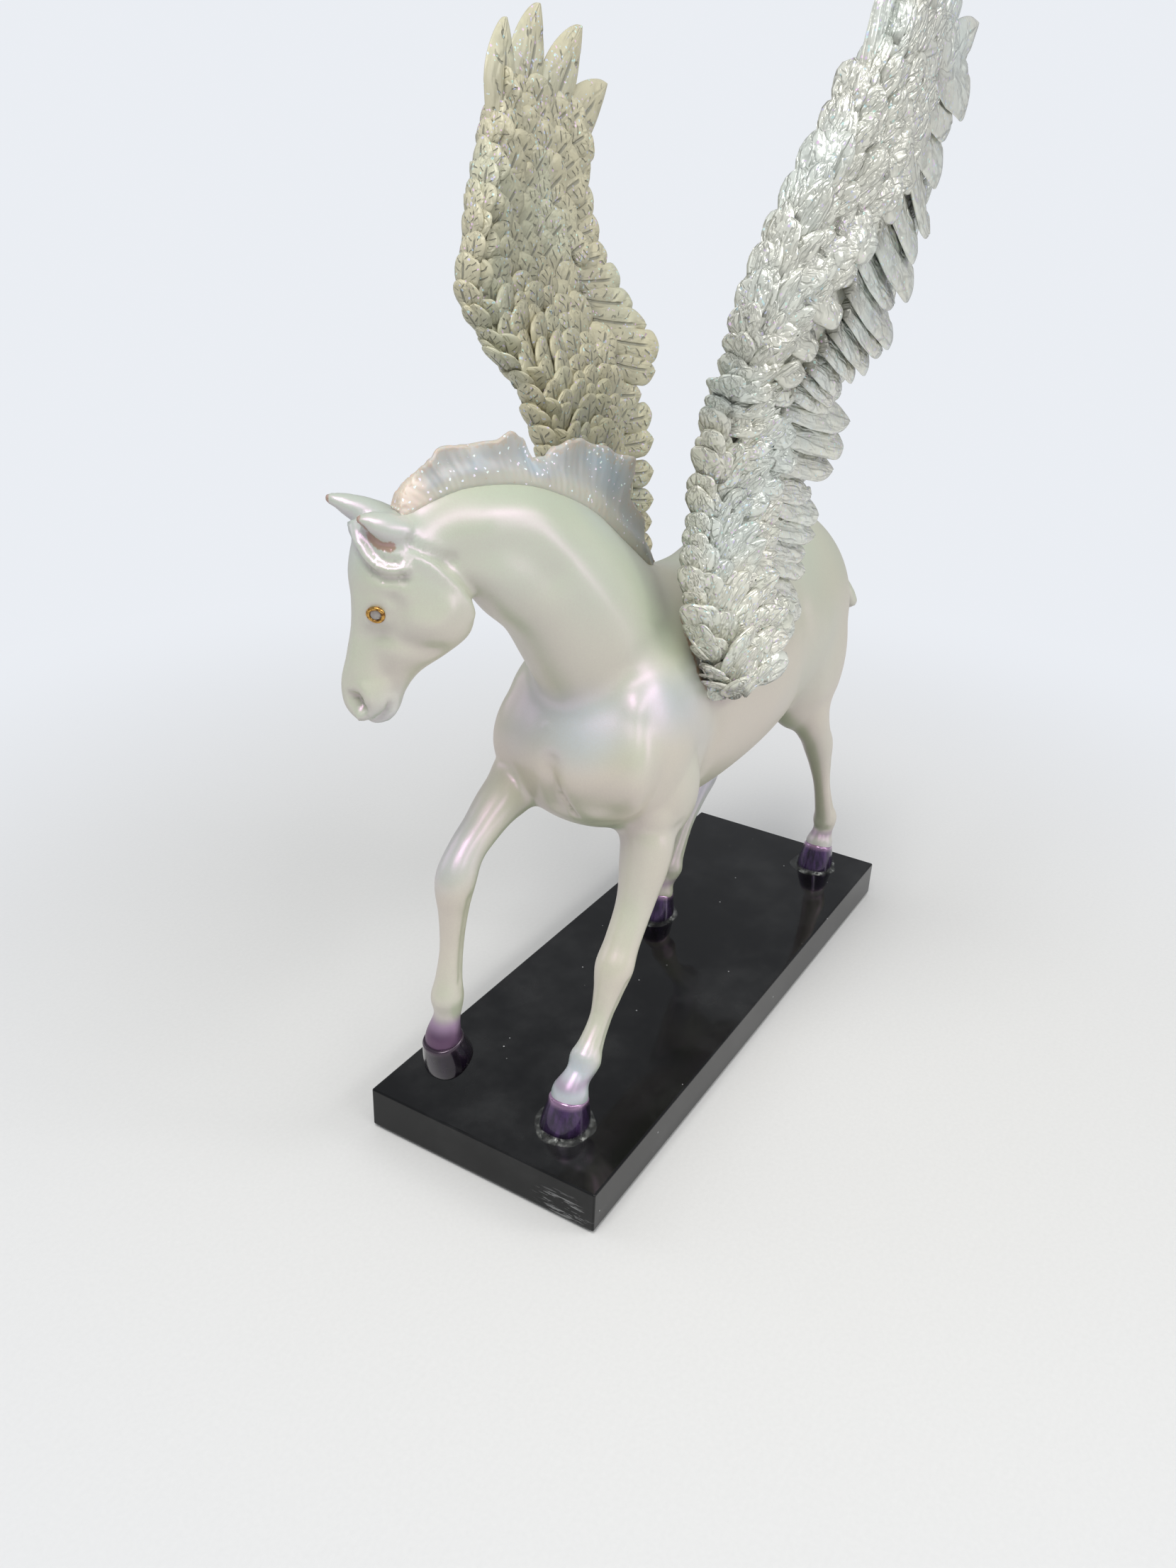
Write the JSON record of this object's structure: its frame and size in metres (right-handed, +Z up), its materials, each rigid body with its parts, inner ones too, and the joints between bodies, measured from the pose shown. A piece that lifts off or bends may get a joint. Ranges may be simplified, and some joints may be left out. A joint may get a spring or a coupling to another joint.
{
  "type": "winged horse figurine",
  "caption": "Pearl-lacquered cast winged horse figurine walking with one forehoof raised, feathered wings spread upwards, on a black rectangular base.",
  "frame": {"origin": "centre of the felt sheet's face on the table", "axes": "+X the way the body walks, +Y its left side, +Z up"},
  "size_m": [0.2234, 0.0986, 0.2746],
  "materials": {
    "pearl_lacquer": "pearl white interference lacquer over cast resin",
    "feather_silver": "silvery grey-green pearl with fine glitter and a dark wash in the recesses",
    "black_lacquer": "high-gloss black lacquer, lightly scratched and dusty",
    "felt": "glued felt sheet",
    "steel": "plain turned steel",
    "gold_rim": "aged gold-brown ring",
    "eye_glass": "clear cut glass",
    "glue": "cloudy set glue"
  },
  "bodies": {
    "root": {"base_plate": "black_lacquer", "body_casting": "pearl_lacquer", "felt_sheet": "felt", "left_eye_setting": "gold_rim", "left_eye_stone": "eye_glass", "left_fore_dowel": "steel", "left_fore_glue_bead": "glue", "left_fore_hoof_screw": "steel", "left_fore_leg": "pearl_lacquer", "left_hind_dowel": "steel", "left_hind_glue_bead": "glue", "left_hind_hoof_screw": "steel", "left_hind_leg": "pearl_lacquer", "left_wing": "feather_silver", "left_wing_pin": "steel", "mane": "pearl_lacquer", "right_eye_setting": "gold_rim", "right_eye_stone": "eye_glass", "right_fore_dowel": "steel", "right_fore_leg": "pearl_lacquer", "right_hind_dowel": "steel", "right_hind_glue_bead": "glue", "right_hind_hoof_screw": "steel", "right_hind_leg": "pearl_lacquer", "right_wing": "feather_silver", "right_wing_pin": "steel", "tail": "pearl_lacquer"}
  },
  "joints": []
}
